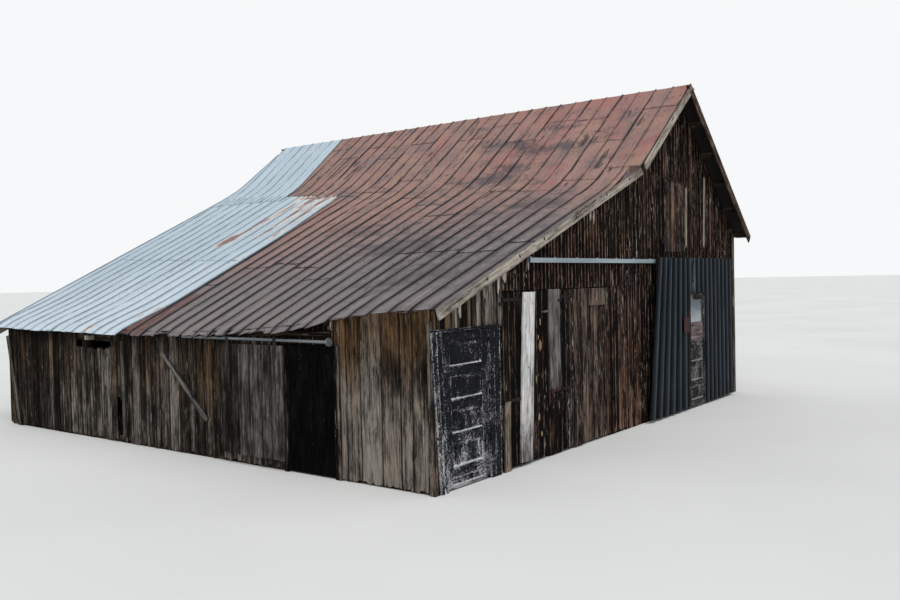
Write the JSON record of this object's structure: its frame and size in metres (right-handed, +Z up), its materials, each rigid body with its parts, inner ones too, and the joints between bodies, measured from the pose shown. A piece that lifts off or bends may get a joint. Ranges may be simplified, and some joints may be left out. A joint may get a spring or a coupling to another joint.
{
  "type": "old board barn with lean-to",
  "caption": "Old weathered board barn with a steep rusty crimped-metal gable roof, a sagging lean-to slope, plank and panelled doors and a black sliding door.",
  "frame": {"origin": "middle of the footprint of the whole barn, roof overhangs included, at ground level", "axes": "+Z up, +X along the gable front to its right seen from outside, +Y from the front gable to the back"},
  "size_m": [9.79, 9.76, 5.4506],
  "materials": {
    "old_timber": "rough sawn, dark with age",
    "rusty_roof_metal": "worn red-brown paint over rust, matt",
    "silver_roof_metal": "dull galvanised sheet with rust streaks",
    "grey_board": "weathered silver-grey, split and nail-stained",
    "dark_board": "unpainted boards weathered almost black",
    "brown_board": "unpainted boards weathered brown and grey",
    "black_paint": "black paint, cracked and peeling",
    "galvanised_track": "dull galvanised steel",
    "rusty_iron": "rusted iron",
    "black_door_metal": "black paint on crimped steel, dull",
    "peeling_paint": "old brown and black paint, peeling",
    "pane_glass": "dusty window glass"
  },
  "bodies": {
    "barn": {"sill_beams": "old_timber", "wall_posts": "old_timber", "inner_posts": "old_timber", "wall_rails": "old_timber", "inner_plate": "old_timber", "wall_plates": "old_timber", "main_rafters": "old_timber", "shed_rafters": "old_timber", "main_laths": "old_timber", "shed_laths": "old_timber", "upper_sheets_rusty": "rusty_roof_metal", "upper_sheets_silver": "silver_roof_metal", "lower_sheets_front": "rusty_roof_metal", "lower_sheets_rusty": "rusty_roof_metal", "lower_sheets_silver": "silver_roof_metal", "right_sheets": "rusty_roof_metal", "main_rake_boards": "grey_board", "shed_rake_board": "grey_board", "back_rake_boards": "grey_board", "front_wall_over_corner_door": "dark_board", "front_wall_post_board": "grey_board", "front_wall_middle": "dark_board", "front_wall_ends": "dark_board", "front_gable": "dark_board", "loft_door": "dark_board", "left_wall_front": "brown_board", "left_wall_over_door": "brown_board", "left_wall_back": "brown_board", "right_wall": "brown_board", "back_wall": "brown_board", "corner_boards": "grey_board", "corner_door_casing": "black_paint", "side_door_casing": "black_paint", "door_track": "galvanised_track", "side_pipe_track": "galvanised_track", "hinge_pins": "rusty_iron"},
    "corner_door": {"corner_door": "black_paint"},
    "plank_door_one": {"plank_door_one": "dark_board", "plank_one_straps": "rusty_iron"},
    "plank_door_two": {"plank_door_two": "dark_board", "plank_two_straps": "rusty_iron"},
    "sliding_door": {"sliding_door_sheet": "black_door_metal", "sliding_door_rails": "old_timber", "sliding_door_ironwork": "rusty_iron"},
    "wicket": {"wicket_door": "peeling_paint", "wicket_glass": "pane_glass"},
    "side_door": {"side_door": "black_paint"},
    "side_sliding_door": {"side_sliding_door": "grey_board", "side_door_hangers": "rusty_iron"}
  },
  "joints": [
    {"name": "corner_door_hinge", "type": "hinge", "parent": "barn", "child": "corner_door", "pos_m": [-3.743, -4.546, 1], "axis": [0, 0, 1], "range_deg": [-95, 0]},
    {"name": "plank_door_one_hinge", "type": "hinge", "parent": "barn", "child": "plank_door_one", "pos_m": [-3.445, -4.604, 1.4], "axis": [0, 0, 1], "range_deg": [-110, 0]},
    {"name": "plank_door_two_hinge", "type": "hinge", "parent": "barn", "child": "plank_door_two", "pos_m": [-2.065, -4.604, 1.4], "axis": [0, 0, 1], "range_deg": [-110, 0]},
    {"name": "sliding_door_travel", "type": "slide", "parent": "barn", "child": "sliding_door", "axis": [-1, 0, 0], "range_m": [0, 3.3]},
    {"name": "wicket_hinge", "type": "hinge", "parent": "sliding_door", "child": "wicket", "pos_m": [2.867, -4.6517, 1], "axis": [0, 0, 1], "range_deg": [-90, 0]},
    {"name": "side_door_hinge", "type": "hinge", "parent": "barn", "child": "side_door", "pos_m": [-4.729, -2.338, 0.8], "axis": [0, 0, 1], "range_deg": [0, 90]},
    {"name": "side_sliding_door_travel", "type": "slide", "parent": "barn", "child": "side_sliding_door", "axis": [0, -1, 0], "range_m": [0, 0.8]}
  ]
}
